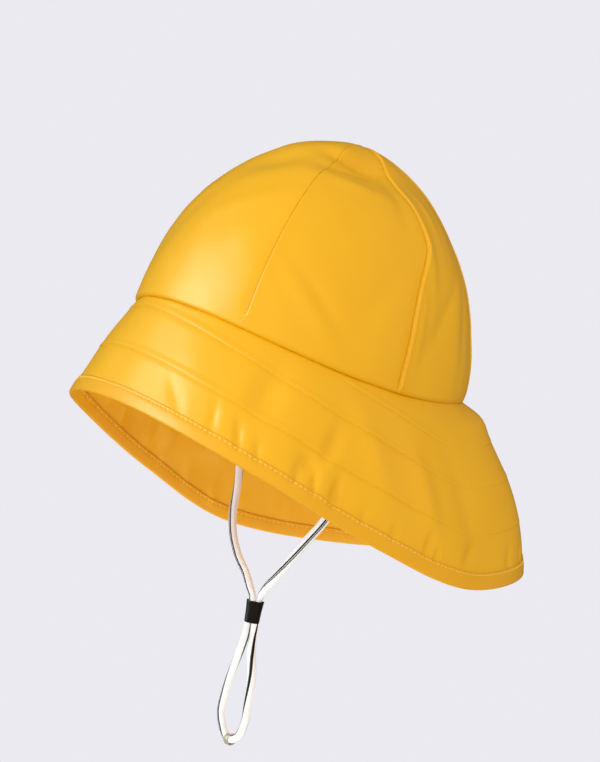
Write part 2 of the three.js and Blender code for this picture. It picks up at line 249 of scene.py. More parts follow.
def coated_cloth(name, light, deep, roughness):
    """Two yellows mixed by a broad noise, and a fine noise as bump."""
    material, tree = new_material(name)
    place = add_node(tree, "ShaderNodeTexCoord").outputs["Object"]
    drift = add_node(
        tree, "ShaderNodeTexNoise", {"Vector": place, "Scale": 1 / DRIFT_SIZE, "Detail": 3.0}
    )
    mix = add_node(
        tree,
        "ShaderNodeMix",
        {"Factor": drift.outputs["Fac"], "A": linear(light), "B": linear(deep)},
        data_type="RGBA",
    )
    pebble = add_node(
        tree, "ShaderNodeTexNoise", {"Vector": place, "Scale": 1 / PEBBLE_SIZE, "Detail": 2.0}
    )
    relief = add_node(
        tree,
        "ShaderNodeBump",
        {"Height": pebble.outputs["Fac"], "Distance": PEBBLE_HEIGHT, "Strength": 1.0},
    )
    shader = add_node(
        tree,
        "ShaderNodeBsdfPrincipled",
        {
            "Base Color": mix.outputs["Result"],
            "Roughness": roughness,
            "IOR": POLYURETHANE_IOR,
            "Normal": relief.outputs["Normal"],
        },
    )
    add_node(tree, "ShaderNodeOutputMaterial", {"Surface": shader.outputs["BSDF"]})
    return material


cloth_material = coated_cloth(
    "polyurethane_coated_knit", CLOTH_YELLOW, CLOTH_DEEP, FILM_ROUGHNESS
)
tape_material = coated_cloth("polyurethane_coated_tape", TAPE_YELLOW, TAPE_DEEP, TAPE_ROUGHNESS)
print("materials:", cloth_material.name, tape_material.name)

# %% [markdown]
# ## The chin cord
#
# The cord is a braided elastic: eight yarns wind one way, eight the other, over and under each
# other round a core. Two of them are black and run straight down opposite sides. It could be a
# curve with a round bevel, but then the yarns would only be painted, so it is a grid instead:
# rings of points along the route, whose radius swells where a yarn lies on top. The section is
# a little flat, as a soft braid is, and it twists on its way, which the last column of the
# route gives: the side on which the black yarn lies, in degrees from the viewer's side.

# %% The route of the cord, in metres and degrees
CORD_ROUTE = np.array([
    (0.0857, -0.0025, -0.0193, -20),
    (0.0852, -0.0033, -0.0260, -20),
    (0.0818, -0.0028, -0.0400, -20),
    (0.0725, -0.0010, -0.0575, -20),
    (0.0620, 0.0010, -0.0745, -20),
    (0.0500, 0.0020, -0.0898, -12),
    (0.0378, 0.0023, -0.1023, -10),
    (0.0263, 0.0024, -0.1154, 15),
    (0.0145, 0.0026, -0.1280, 42),
    (0.0050, 0.0034, -0.1374, 75),
    (0.0015, 0.0036, -0.1430, 90),
    (0.00129, 0.00353, -0.1510, 102),
    (0.0015, 0.0036, -0.1590, 121),
    (0.0006, 0.0042, -0.1664, 138),
    (0.0025, 0.0043, -0.1761, 163),
    (0.0074, 0.0038, -0.1875, 205),
    (0.0099, 0.0029, -0.2042, 241),
    (0.0110, 0.0023, -0.2147, 270),
    (0.0080, 0.0020, -0.2235, 268),
    (0.0000, 0.0020, -0.2275, 285),
    (-0.0080, 0.0020, -0.2241, 315),
    (-0.0140, 0.0020, -0.2145, 308),
    (-0.0128, 0.0016, -0.2021, 300),
    (-0.0082, 0.0010, -0.1866, 274),
    (-0.0032, 0.0002, -0.1740, 247),
    (-0.0010, 0.0000, -0.1655, 246),
    (-0.00145, 0.0004, -0.1590, 252),
    (-0.00129, 0.00047, -0.1510, 275),
    (-0.0015, 0.00045, -0.1430, 297),
    (-0.0069, 0.0010, -0.1378, 302),
    (-0.0154, 0.0022, -0.1311, 318),
    (-0.0291, 0.0038, -0.1226, 322),
    (-0.0410, 0.0060, -0.1112, 318),
    (-0.0491, 0.0090, -0.0984, 308),
    (-0.0535, 0.0120, -0.0840, 280),
    (-0.0580, 0.0130, -0.0690, 254),
    (-0.0660, 0.0100, -0.0520, 245),
    (-0.0765, 0.0040, -0.0380, 245),
    (-0.0840, -0.0018, -0.0270, 245),
    (-0.0857, -0.0025, -0.0193, 245),
])


def smooth_route(points, steps):
    """A centripetal Catmull-Rom curve. Between two points it is a cubic whose slopes come from
    the neighbours, each weighed by the square root of the distance to it."""
    first = 2 * points[:1] - points[1:2]
    last = 2 * points[-1:] - points[-2:-1]
    points = np.concatenate([first, points, last])
    gap = np.sqrt(np.linalg.norm(np.diff(points[:, :3], axis=0), axis=1))[:, None]
    slope = np.diff(points, axis=0) / gap
    across = (points[2:] - points[:-2]) / (gap[1:] + gap[:-1])
    tangent = slope[:-1] + slope[1:] - across
    start, end = points[1:-2], points[2:-1]
    leave, arrive = tangent[:-1] * gap[1:-1], tangent[1:] * gap[1:-1]
    s = (np.arange(steps) / steps)[:, None, None]
    curve = (
        (2 * s**3 - 3 * s**2 + 1) * start
        + (s**3 - 2 * s**2 + s) * leave
        + (3 * s**2 - 2 * s**3) * end
        + (s**3 - s**2) * arrive
    )
    return np.concatenate([curve.swapaxes(0, 1).reshape(-1, points.shape[1]), points[-2:-1]])


def along(points):
    """The distance along a line of points from its start to each of them."""
    return np.concatenate([[0], np.cumsum(np.linalg.norm(np.diff(points[:, :3], axis=0), axis=1))])


ROUTE_STEPS = 40
route = smooth_route(CORD_ROUTE, ROUTE_STEPS)
travelled = along(route)
cord_length = float(travelled[-1])
print(f"the cord is {cord_length:.3f} m long")

# %% Frames along the cord
CORD_RING_STEP = 0.0003
VIEWER = np.array([math.sin(math.radians(CAMERA_TURN)), -math.cos(math.radians(CAMERA_TURN)), 0.0])

ring_count = int(cord_length / CORD_RING_STEP) + 1
cord_at = np.linspace(0, cord_length, ring_count)
cord_line = np.stack([np.interp(cord_at, travelled, route[:, k]) for k in range(4)], 1)
cord_centre = cord_line[:, :3] / MM
cord_twist = np.radians(cord_line[:, 3])


def unit(vectors):
    """Vectors divided by their lengths."""
    return vectors / np.linalg.norm(vectors, axis=-1, keepdims=True)


cord_way = unit(np.gradient(cord_centre, axis=0))
towards = unit(VIEWER - (cord_way @ VIEWER)[:, None] * cord_way)
beside = np.cross(cord_way, towards)
tracer_way = towards * np.cos(cord_twist)[:, None] + beside * np.sin(cord_twist)[:, None]
flat_way = np.cross(cord_way, tracer_way)

# %% [markdown]
# ## The braid
#
# A yarn of one winding has the number p, the other winding q: both grow round the cord, and
# one grows and the other falls along it. A yarn lies on top where the sum of the two whole
# numbers is even, and its back is a half round, so the height is the sine across the yarn.

# %% Braid the cord
CORD_WIDE = 5.2
CORD_THICK = 4.5
CORD_PINCH = 0.8
YARNS = 8
YARN_STEP = 1.6
YARN_RELIEF = 0.22
CORD_SIDES = 48
YARN_ROUND = 0.7
YARN_CROSSING = 6
TAPER = 1.2
END_SIZE = 0.03
PINCH_REACH = 11
PINCH_FULL = 1.4
TOGGLE_AT = np.array([0, 2, -151.0])


def braid_height(turn, distance):
    """Yarn numbers p = yarns * turn + distance / step and q = yarns * turn - distance / step.
    The height is |sin(pi p)| where p's yarn is on top and |sin(pi q)| where q's is, each to
    the power that rounds a yarn, with a soft change that follows the product of the sines."""
    p = np.pi * (YARNS * turn + distance / YARN_STEP)
    q = np.pi * (YARNS * turn - distance / YARN_STEP)
    on_top = 0.5 + 0.5 * np.tanh(YARN_CROSSING * np.sin(p) * np.sin(q))
    one, other = np.abs(np.sin(p)) ** YARN_ROUND, np.abs(np.sin(q)) ** YARN_ROUND
    return on_top * one + (1 - on_top) * other


def braided_cord():
    """An ellipse across the route, swollen by the braid, pinched where it goes through the
    barrel and drawn in at its two ends."""
    turn = (np.arange(CORD_SIDES) / CORD_SIDES)[None, :]
    distance = cord_at[:, None] / MM
    swell = YARN_RELIEF * (braid_height(turn, distance) - 0.6)
    end = np.minimum(distance, distance[-1] - distance) / TAPER
    closing = np.sqrt(1 - np.clip(1 - end, 0, 1) ** 2) * (1 - END_SIZE) + END_SIZE
    in_barrel = bump(np.linalg.norm(cord_centre - TOGGLE_AT, axis=1)[:, None], PINCH_REACH)
    pinched = 1 - (1 - CORD_PINCH) * np.clip(PINCH_FULL * in_barrel, 0, 1)
    closing = closing * pinched
    thick = (CORD_THICK / 2 + swell) * closing * np.cos(2 * np.pi * turn)
    wide = (CORD_WIDE / 2 + swell) * closing * np.sin(2 * np.pi * turn)
    points = (
        cord_centre[:, None]
        + tracer_way[:, None] * thick[..., None]
        + flat_way[:, None] * wide[..., None]
    )
    uv = np.broadcast_arrays(distance, turn)
    return points, np.stack(uv, -1).reshape(-1, 2)


cord_points, cord_uv = braided_cord()
cord_faces = grid_quads(ring_count, CORD_SIDES, closed_round=True)[:, ::-1]
cord_start, cord_end = end_rings(ring_count, CORD_SIDES)
cord_caps = [cord_start.tolist(), cord_end[::-1].tolist()]

# %% [markdown]
# ## Braided polyester
#
# Spun polyester yarn is matt, so it has a high roughness. The yarn's colour is also given as a
# faint glow, painted light that keeps the cord white where the brim's yellow shade falls on it.
# The black yarns are found by the UV: they lie at a turn of 0 and of a half, and show as beads
# where they come to the top.

# %% Cord material
CORD_WHITE = "#DEE3EB"
# Painted light: the cord glows faintly in its own colour, so it stays white in the brim's shade.
CORD_PAINTED_GLOW = 0.17
CORD_BLACK = "#060607"
TRACER_TURN = 0.066
POLYESTER_IOR = 1.54
FIBRE_SIZE = 0.25 * MM
FIBRE_HEIGHT = 0.05 * MM


def braided_polyester():
    """White yarn with two black ones, chosen by the distance in turns from 0 and a half."""
    material, tree = new_material("braided_polyester")
    uv = add_node(tree, "ShaderNodeUVMap", uv_map="along").outputs["UV"]
    turn = add_node(tree, "ShaderNodeSeparateXYZ", {"Vector": uv})
    doubled = add_node(tree, "ShaderNodeMath", {0: turn.outputs["Y"], 1: 2.0}, operation="MULTIPLY")
    near = add_node(tree, "ShaderNodeMath", {0: doubled.outputs[0], 1: 0.5}, operation="PINGPONG")
    step = add_node(
        tree, "ShaderNodeMath", {0: turn.outputs["X"], 1: 1 / YARN_STEP}, operation="MULTIPLY"
    )
    bead = add_node(tree, "ShaderNodeMath", {0: step.outputs[0], 1: 0.5}, operation="PINGPONG")
    edge = add_node(
        tree,
        "ShaderNodeMapRange",
        {
            "Value": bead.outputs[0],
            "From Max": 0.5,
            "To Min": 2 * TRACER_TURN,
            "To Max": 1.5 * TRACER_TURN,
        },
    )
    black = add_node(
        tree,
        "ShaderNodeMath",
        {0: near.outputs[0], 1: edge.outputs["Result"]},
        operation="LESS_THAN",
    )
    mix = add_node(
        tree,
        "ShaderNodeMix",
        {"Factor": black.outputs[0], "A": linear(CORD_WHITE), "B": linear(CORD_BLACK)},
        data_type="RGBA",
    )
    place = add_node(tree, "ShaderNodeTexCoord").outputs["Object"]
    fibre = add_node(tree, "ShaderNodeTexNoise", {"Vector": place, "Scale": 1 / FIBRE_SIZE})
    relief = add_node(
        tree,
        "ShaderNodeBump",
        {"Height": fibre.outputs["Fac"], "Distance": FIBRE_HEIGHT, "Strength": 0.6},
    )
    shader = add_node(
        tree,
        "ShaderNodeBsdfPrincipled",
        {
            "Base Color": mix.outputs["Result"],
            "Roughness": 0.85,
            "IOR": POLYESTER_IOR,
            # The emission is painted light: the yarn's colour glows, so the cord stays white in
            # shade.
            "Emission Color": mix.outputs["Result"],
            "Emission Strength": CORD_PAINTED_GLOW,
            "Normal": relief.outputs["Normal"],
        },
    )
    add_node(tree, "ShaderNodeOutputMaterial", {"Surface": shader.outputs["BSDF"]})
    return material


cord_material = braided_polyester()
cord = make_piece(
    "braided_chin_cord",
    cord_points,
    cord_faces,
    [cord_material],
    uv=cord_uv,
    caps=cord_caps,
)
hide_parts("chin_cord")

# %% [markdown]
# ## The barrel on the cord
#
# The toggle is a moulded barrel with a slot for the two strands. Its outline is an oval with
# straight sides, and a profile is carried round it: up the outside, over a rounded rim, down
# the slot and round the lower rim. The rims bow, so that the barrel dips between its strands.

# %% Barrel surface
TOGGLE_TURN = 50
TOGGLE_HEIGHT = 13
STRANDS_APART = 4
BORE = 2.4
TOGGLE_WALL = 0.9
TOGGLE_TAPER = 0.8
RIM_BOW = 0.7


def stadium(share, apart, radius):
    """Points of an oval with straight sides: a round at each end, `apart` between their
    middles. Half of the shares go round one end and half round the other."""
    a = 2 * np.pi * share - np.pi / 2
    middle = np.where(share < 0.5, apart / 2, -apart / 2)
    return np.stack([middle + radius * np.cos(a), radius * np.sin(a)], -1)


def barrel_points(columns, rim_steps, side_steps):
    """For each share round the oval, the wall's profile is a loop: its half thickness goes out
    and in as a cosine, and its half height up and down as a sine, squared off by a power."""
    steps = 2 * (rim_steps + side_steps)
    a = 2 * np.pi * np.arange(steps) / steps
    squared = 0.35
    out = np.sign(np.cos(a)) * np.abs(np.cos(a)) ** squared
    rise = np.sign(np.sin(a)) * np.abs(np.sin(a)) ** squared
    share = (np.arange(columns) + 0.5) / columns
    lower = TOGGLE_TAPER * (0.5 - 0.5 * rise) + 0.25 * (1 - rise**2)
    radius = BORE + TOGGLE_WALL / 2 + out * TOGGLE_WALL / 2
    radius = radius + np.where(out > 0, TOGGLE_TAPER - lower, 0) - TOGGLE_TAPER
    flat = stadium(share[:, None], STRANDS_APART, radius[None, :])
    bow = RIM_BOW * (1 - (flat[..., 0] / (STRANDS_APART / 2 + BORE + TOGGLE_WALL)) ** 2)
    height = rise * TOGGLE_HEIGHT / 2 - bow
    turn = math.radians(TOGGLE_TURN)
    x = flat[..., 0] * math.cos(turn) - flat[..., 1] * math.sin(turn)
    y = flat[..., 0] * math.sin(turn) + flat[..., 1] * math.cos(turn)
    return np.stack([x, y, height], -1) + TOGGLE_AT


def torus_faces(rows, columns):
    """Quads of a grid that is closed both ways."""
    row, column = np.meshgrid(np.arange(rows), np.arange(columns), indexing="ij")
    next_row, next_column = (row + 1) % rows, (column + 1) % columns
    quads = [row * columns + column, next_row * columns + column]
    quads += [next_row * columns + next_column, row * columns + next_column]
    return np.stack(quads, -1).reshape(-1, 4)


# %% [markdown]
# ## Moulded plastic
#
# The barrel is acetal, moulded in a spark-eroded cavity, so it is black with a fine grain and
# a soft, broken shine. The grain is about 0.2 mm and is drawn at 0.5 mm to show.

# %% Barrel material and piece
ACETAL_BLACK = "#141110"
ACETAL_BROWN = "#1C1816"
ACETAL_IOR = 1.48
GRAIN_SIZE = 0.5 * MM
GRAIN_HEIGHT = 0.04 * MM


def moulded_acetal():
    """A nearly black brown with a fine bump."""
    material, tree = new_material("moulded_acetal")
    place = add_node(tree, "ShaderNodeTexCoord").outputs["Object"]
    grain = add_node(tree, "ShaderNodeTexNoise", {"Vector": place, "Scale": 1 / GRAIN_SIZE})
    mix = add_node(
        tree,
        "ShaderNodeMix",
        {"Factor": grain.outputs["Fac"], "A": linear(ACETAL_BLACK), "B": linear(ACETAL_BROWN)},
        data_type="RGBA",
    )
    relief = add_node(
        tree,
        "ShaderNodeBump",
        {"Height": grain.outputs["Fac"], "Distance": GRAIN_HEIGHT, "Strength": 0.7},
    )
    shader = add_node(
        tree,
        "ShaderNodeBsdfPrincipled",
        {
            "Base Color": mix.outputs["Result"],
            "Roughness": 0.36,
            "IOR": ACETAL_IOR,
            "Normal": relief.outputs["Normal"],
        },
    )
    add_node(tree, "ShaderNodeOutputMaterial", {"Surface": shader.outputs["BSDF"]})
    return material


barrel_columns, barrel_rim, barrel_side = 96, 16, 12
barrel = make_piece(
    "toggle_barrel",
    barrel_points(barrel_columns, barrel_rim, barrel_side),
    torus_faces(barrel_columns, 2 * (barrel_rim + barrel_side)),
    [moulded_acetal()],
)
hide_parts("cord_toggle")

# %% [markdown]
# ## The ring at the end of the loop
#
# A strip of plated steel is bent round the cord and pinched, so the ring is a rounded strip
# section carried along an arc that stays open at the top. The plating is a pale warm grey, and
# wear has dulled it in patches, so it mirrors only softly. Dull oxide hides part of the metal,
# so Metallic stays near the middle.

# %% Ring surface
RING_AT = np.array([0, 2, -227.5])
RING_RADIUS = 3.2
RING_OPENING = 50
RING_WIDTH = 3.4
RING_SHEET = 0.9
PLATING = "#CFCBBB"
PLATING_WEAR = 1.5 * MM
PLATING_SMOOTH = 0.3
PLATING_DULL = 0.5


def ring_points(steps, sides):
    """An arc round the X axis; across it a flat oval, wide along the cord and thin outwards,
    squared off by a power."""
    a = np.radians(90 + RING_OPENING / 2 + (360 - RING_OPENING) * np.arange(steps) / (steps - 1))
    b = 2 * np.pi * np.arange(sides) / sides
    wide = np.sign(np.cos(b)) * np.abs(np.cos(b)) ** 0.5 * RING_WIDTH / 2
    thick = np.sign(np.sin(b)) * np.abs(np.sin(b)) ** 0.5 * RING_SHEET / 2
    radius = RING_RADIUS + thick[None, :]
    x = np.broadcast_to(wide, (steps, sides))
    return np.stack([x, radius * np.cos(a)[:, None], radius * np.sin(a)[:, None]], -1) + RING_AT


def plated_steel():
    """A grey metal whose roughness drifts, as worn plating does."""
    material, tree = new_material("plated_steel_strip")
    place = add_node(tree, "ShaderNodeTexCoord").outputs["Object"]
    wear = add_node(tree, "ShaderNodeTexNoise", {"Vector": place, "Scale": 1 / PLATING_WEAR})
    rough = add_node(
        tree,
        "ShaderNodeMapRange",
        {"Value": wear.outputs["Fac"], "To Min": PLATING_SMOOTH, "To Max": PLATING_DULL},
    )
    shader = add_node(
        tree,
        "ShaderNodeBsdfPrincipled",
        {
            "Base Color": linear(PLATING),
            "Metallic": 0.55,
            "Roughness": rough.outputs["Result"],
        },
    )
    add_node(tree, "ShaderNodeOutputMaterial", {"Surface": shader.outputs["BSDF"]})
    return material


ring_steps, ring_sides = 72, 24
ring_start, ring_end = end_rings(ring_steps, ring_sides)
ring = make_piece(
    "crimped_ring",
    ring_points(ring_steps, ring_sides),
    grid_quads(ring_steps, ring_sides, closed_round=True),
    [plated_steel()],
    caps=[ring_start[::-1].tolist(), ring_end.tolist()],
)
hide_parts("cord_ring")

# %% [markdown]
# ## The shape of the head opening
#
# Everything is hung on one seam: the oval where the crown meets the brim. It rises at the
# front and the back and dips over the ears. Angles go round it from the front over the
# wearer's left ear to the back.

# %% The crown seam
HEAD_WIDTH = 177
HEAD_LENGTH = 204
CROWN_HEIGHT = 128
SEAM_WAVE = 7
HEAD_RADIUS = (HEAD_WIDTH + HEAD_LENGTH) / 4


def turn_between(start, end):
    """The smaller way round from one angle to another, in degrees."""
    return (end - start + 180) % 360 - 180


def seam_point(angle):
    """An ellipse, with a height that follows the cosine of twice the angle."""
    a = np.radians(angle)
    x = np.sin(a) * HEAD_WIDTH / 2
    y = -np.cos(a) * HEAD_LENGTH / 2
    return np.stack([x, y, SEAM_WAVE * np.cos(2 * a)], -1)


def outward(angle):
    """The level direction square to the ellipse."""
    a = np.radians(angle)
    return unit(np.stack([np.sin(a) / HEAD_WIDTH, -np.cos(a) / HEAD_LENGTH, 0 * a], -1))


# %% [markdown]
# ## Soft creases
#
# Cloth that has been packed and worn keeps soft creases. One table row describes one crease: a
# place on the cloth, the way it runs, how long and wide it is and how deep. A negative depth
# makes a ridge. The function works on any cloth piece that can say how far across and how far
# up a point is from the crease's middle, in millimetres.


# %% Crease and rumple functions
def crease_depth(rows, across_mm, up_mm):
    """For each row, the offsets are turned by its angle into a way along it and a way across,
    and the depth is a soft bump of both. across_mm and up_mm take a row and give offsets."""
    depth = 0
    for row in rows:
        turn = math.radians(row["turn"])
        x, y = across_mm(row), up_mm(row)
        lengthwise = x * math.cos(turn) + y * math.sin(turn)
        sideways = y * math.cos(turn) - x * math.sin(turn)
        depth = depth + row["deep"] * bump(lengthwise, row["long"]) * bump(sideways, row["wide"])
    return depth


RUMPLE_HEIGHT = 0.11
RUMPLE_WAVES = 14
RUMPLE_SHORTEST = 16
RUMPLE_LONGEST = 52
RUMPLE_SEED = 5


def rumple(points):
    """The sum of plane waves that run in seeded directions through the points, each as high
    as its length allows."""
    dice = np.random.default_rng(RUMPLE_SEED)
    ways = unit(dice.normal(size=(RUMPLE_WAVES, 3)))
    lengths = dice.uniform(RUMPLE_SHORTEST, RUMPLE_LONGEST, RUMPLE_WAVES)
    phases = dice.uniform(0, 2 * np.pi, RUMPLE_WAVES)
    waves = np.sin(points @ (ways / lengths[:, None]).T * 2 * np.pi + phases)
    return RUMPLE_HEIGHT * (waves * lengths / RUMPLE_LONGEST).sum(-1)


# %% [markdown]
# ## The crown
#
# Six gores make the dome. Each is flatter than the dome between its two seams, the more so
# towards the tip, and a few soft dents are pressed into it. The seam allowances are pressed to
# one side: there the cloth stands over them in a narrow ridge, and the gore on the other side
# sinks towards the thread, so a seam shows as a fine dark line with a bright edge. At the hem
# the cloth is folded under, which gives a round edge over the brim.

# %% Seams and dents of the crown
def table(columns, *rows):
    """Rows as dictionaries. The columns' names are written once, in one line of words."""
    return [dict(zip(columns.split(), row)) for row in rows]


SEAMS = table(
    "angle sway at below above shut ridge",
    (-150, 0, 0.5, 0.2, 0.2, 0, 1.0),
    (-94, -2, 0.5, 0.2, 0.2, 0, 1.4),
    (-37, 0, 0.5, 0.2, 0.2, 6, 0.9),
    (37, 5, 0.7, 0.42, 0.4, 7, 0.75),
    (94, 6.6, 0.43, 0.12, 0.18, 0, 2.0),
    (150, 1, 0.5, 0.2, 0.2, 0, 1.0),
)
GORE_NAMES = ["back_right", "front_right", "front", "front_left", "back_left", "back"]
CROWN_DENTS = table(
    "angle at wide tall deep",
    (78, 0.73, 30, 0.12, 0.056),
    (124, 0.74, 26, 0.14, 0.02),
    (112, 0.16, 11, 0.12, 0.012),
    (144, 0.5, 22, 0.2, 0.018),
    (150, 0.04, 16, 0.12, -0.022),
    (-60, 0.66, 20, 0.12, 0.022),
    (-120, 0.3, 16, 0.16, 0.014),
    (178, 0.55, 20, 0.14, 0.016),
)
CROWN_CREASES = table(
    "angle at turn long wide deep",
    (8, 0.6, 35, 28, 13, 3.2),
    (17, 0.37, 36, 26, 7, -0.9),
    (51, 0.66, 25, 16, 7, 3.6),
    (64, 0.57, 4, 16, 4.5, -1.6),
    (89, 0.58, 95, 16, 6, 1.6),
    (62, 0.145, -34, 28, 3.2, 0.85),
    (57, 0.135, -34, 26, 4.5, -0.85),
    (54, 0.74, 10, 18, 7, 3.4),
    (46, 0.1, -50, 20, 6, -0.6),
    (80, 0.22, 60, 18, 6, 0.7),
    (103, 0.36, 97, 20, 5, -1.4),
    (99, 0.2, 88, 22, 3.5, -0.9),
    (113, 0.24, 52, 26, 5, 1.1),
    (112, 0.58, 95, 16, 4, -0.7),
    (130, 0.2, 80, 22, 7, 1.2),
    (-15, 0.3, 70, 24, 9, 0.8),
    (-75, 0.35, 100, 26, 8, 1.1),
    (-55, 0.2, 40, 26, 5, -0.8),
    (-130, 0.55, 60, 24, 9, 1.2),
    (-112, 0.25, 120, 24, 6, -0.9),
    (172, 0.25, 80, 26, 8, 1.0),
    (-165, 0.4, 50, 26, 6, -0.8),
)
GORE_FLATNESS = 0.55
TIP_HOLE = 0.7
HEM_OVERHANG = 1.9
HEM_ROLL_HEIGHT = 3.2
HEM_FLAT_ANGLE = 146
CLOTH = 1.5
SEAM_SLIT = 0.06
SEAM_SINK = 0.85
SEAM_SLOPE = 3.2
SEAM_RISE = 0.9
SEAM_FADE = 4.0
RIDGE_LOW_PART = 0.5
SEAM_ROLL = 0.6
SWAY_POINT = 0.0002
SWAY_POWER = 1.4
SLOPE_SHARE = 0.7
ROLL_POWER = 2.4
TUCKED_SHARE = 0.75
TUCKED_DEGREES = 17
RUMPLE_STARTS = 8
ARC_SHARE = 0.88
UP_LENGTH = CROWN_HEIGHT * math.pi / 2 * ARC_SHARE


def dome_normal(angle, up):
    """Out of the smooth dome: outward times the cosine of the lean and the height, plus up
    times its sine and the radius."""
    lean = np.radians(90 * up)[..., None]
    upward = np.array([0, 0, 1.0])
    return unit(outward(angle) * np.cos(lean) * CROWN_HEIGHT + upward * np.sin(lean) * HEAD_RADIUS)


def crown_depth(angle, up):
    """Dents, whose spread is in degrees and shares of the way up, and creases in millimetres."""
    depth = 0
    for row in CROWN_DENTS:
        across = bump(turn_between(row["angle"], angle), row["wide"])
        depth = depth + row["deep"] * CROWN_HEIGHT * across * bump(up - row["at"], row["tall"])
    level_radius = HEAD_RADIUS * np.cos(np.radians(90 * up))
    creases = crease_depth(
        CROWN_CREASES,
        lambda row: np.radians(turn_between(row["angle"], angle)) * level_radius,
        lambda row: (up - row["at"]) * UP_LENGTH,
    )
    return depth + creases


def crown_surface(angle, up, start, end):
    """Each level is the seam's oval drawn in by the cosine of the lean and flattened between
    the gore's two seams, and its height grows with the sine. Dents go in along the normal. The
    fold at the hem is a round that stands out less where the crown is tucked in."""
    lean = np.radians(90 * up)
    half = turn_between(start, end) / 2
    chord = np.cos(np.radians(half)) / np.cos(np.radians(turn_between(start + half, angle)))
    flat = 1 + GORE_FLATNESS * up * (chord - 1)
    seam = seam_point(angle)
    height = CROWN_HEIGHT * np.sin(lean)
    level = seam[..., 2] * (1 - np.sin(lean)) + height
    drawn_in = np.cos(lean) * flat
    points = np.stack([seam[..., 0] * drawn_in, seam[..., 1] * drawn_in, level], -1)
    depth = crown_depth(angle, up) - rumple(points) * np.clip(height / RUMPLE_STARTS, 0, 1)
    below = np.clip(1 - height / HEM_ROLL_HEIGHT, 0, 1)
    tucked = 1 - TUCKED_SHARE * bump(turn_between(HEM_FLAT_ANGLE, angle), TUCKED_DEGREES)
    overhang = HEM_OVERHANG * tucked * np.sqrt(1 - below**ROLL_POWER) * np.cos(lean) ** 2
    return points - dome_normal(angle, up) * depth[..., None] + outward(angle) * overhang[..., None]


def seam_angle(seam, up):
    """The seam's angle at the hem, plus a sway that is greatest at one height and falls off
    above and below it in its own way, with a slight point."""
    off = up - seam["at"]
    spread = np.where(off < 0, seam["below"], seam["above"])
    reach = np.sqrt(off**2 + SWAY_POINT) / spread
    return seam["angle"] + seam["sway"] * np.exp(-(reach**SWAY_POWER))


def seam_lift(distance, ridge_side, ridge):
    """Beside the thread both edges dive by a narrow bump. The ridge side then rises steeply
    over the seam allowances and fades away, and the other side slopes down to the thread."""
    dive = SEAM_SINK * bump(distance, SEAM_ROLL)
    raised = ridge * (1 - bump(distance, SEAM_RISE)) * np.exp(-distance / SEAM_FADE)
    slope = SEAM_SINK * (bump(distance, SEAM_SLOPE) - bump(distance, SEAM_ROLL)) * SLOPE_SHARE
    return np.where(ridge_side, raised, -slope) - dive


HEM_BAND = 0.04
EDGE_CROWDING = 0.84
THREAD_GAP = 0.02
SEAM_OPENS_OVER = 4
NARROW_GORE = 8
LEAST_LIFT = 0.15
RIDGE_LOSS = 0.6
RIDGE_CHANGE = 0.12


def gore_points(index, columns, rows, hem_rows):
    """The gore's grid. Columns crowd towards the seams and rows towards the hem. Its first
    edge is the ridge side of a seam, and its last edge the sinking side of the next."""
    first, last = SEAMS[index], SEAMS[(index + 1) % len(SEAMS)]
    tip = 1 - math.degrees(TIP_HOLE / HEAD_RADIUS) / 90
    low = HEM_BAND * (np.arange(hem_rows) / hem_rows) ** 1.5
    high = HEM_BAND + (tip - HEM_BAND) * np.sin(np.radians(90 * np.linspace(0, 1, rows))) ** 0.95
    up = np.concatenate([low, high])[:, None]
    x = np.linspace(-1, 1, columns)[None, :]
    across = (1 - EDGE_CROWDING) * x + EDGE_CROWDING * np.sin(np.pi / 2 * x)
    start, end = seam_angle(first, up), seam_angle(last, up)
    half = turn_between(start, end) / 2
    radius = HEAD_RADIUS * np.cos(np.radians(90 * up))
    shut = np.where(across < 0, first["shut"], last["shut"])
    height = CROWN_HEIGHT * np.sin(np.radians(90 * up))
    opened = np.clip((height - shut) / SEAM_OPENS_OVER, 0, 1)
    spare = np.degrees((THREAD_GAP + SEAM_SLIT * opened) / radius)
    angle = start + half + across * (half - spare)
    points = crown_surface(angle, up + 0 * angle, start, end)
    reach = np.radians(half) * radius
    distance = (1 - np.abs(across)) * reach
    shallow = np.clip(reach / NARROW_GORE, LEAST_LIFT, 1) * opened
    above = np.clip((up - RIDGE_LOW_PART) / RIDGE_CHANGE + 0.5, 0, 1)
    ridge = first["ridge"] * (1 - RIDGE_LOSS * above)
    lift = seam_lift(distance, across < 0, ridge) * shallow
    normal = dome_normal(angle, up + 0 * angle)
    outer = points + normal * lift[..., None]
    inner = points - normal * CLOTH
    return tipped_back(outer), tipped_back(inner)


# %% Build the six gores
gore_columns, gore_rows, gore_hem_rows = 109, 110, 14
for index, gore_name in enumerate(GORE_NAMES):
    outer, inner = gore_points(index, gore_columns, gore_rows, gore_hem_rows)
    gore = make_piece(
        f"gore_{gore_name}",
        np.concatenate([outer, inner]),
        cloth_faces(gore_rows + gore_hem_rows, gore_columns),
        [cloth_material],
    )
    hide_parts(f"crown_panel_{gore_name}")

# %% [markdown]
# ## The brim
#
# The brim hangs from the crown seam. A table gives how far the hem stands out and drops at
# twelve angles, as shares of its largest reach and drop, and a smooth curve runs through
# them. The cloth bellies out between seam and hem. Three tucks are sewn along the hem at fixed
# distances from it, so the upper ones run out under the crown where the brim is narrow. A
# tuck is a ridge that rises slowly from above and ends in a fine groove at its stitched edge.
# The binding's stitches gather the hem a little, which leaves puckers above it.

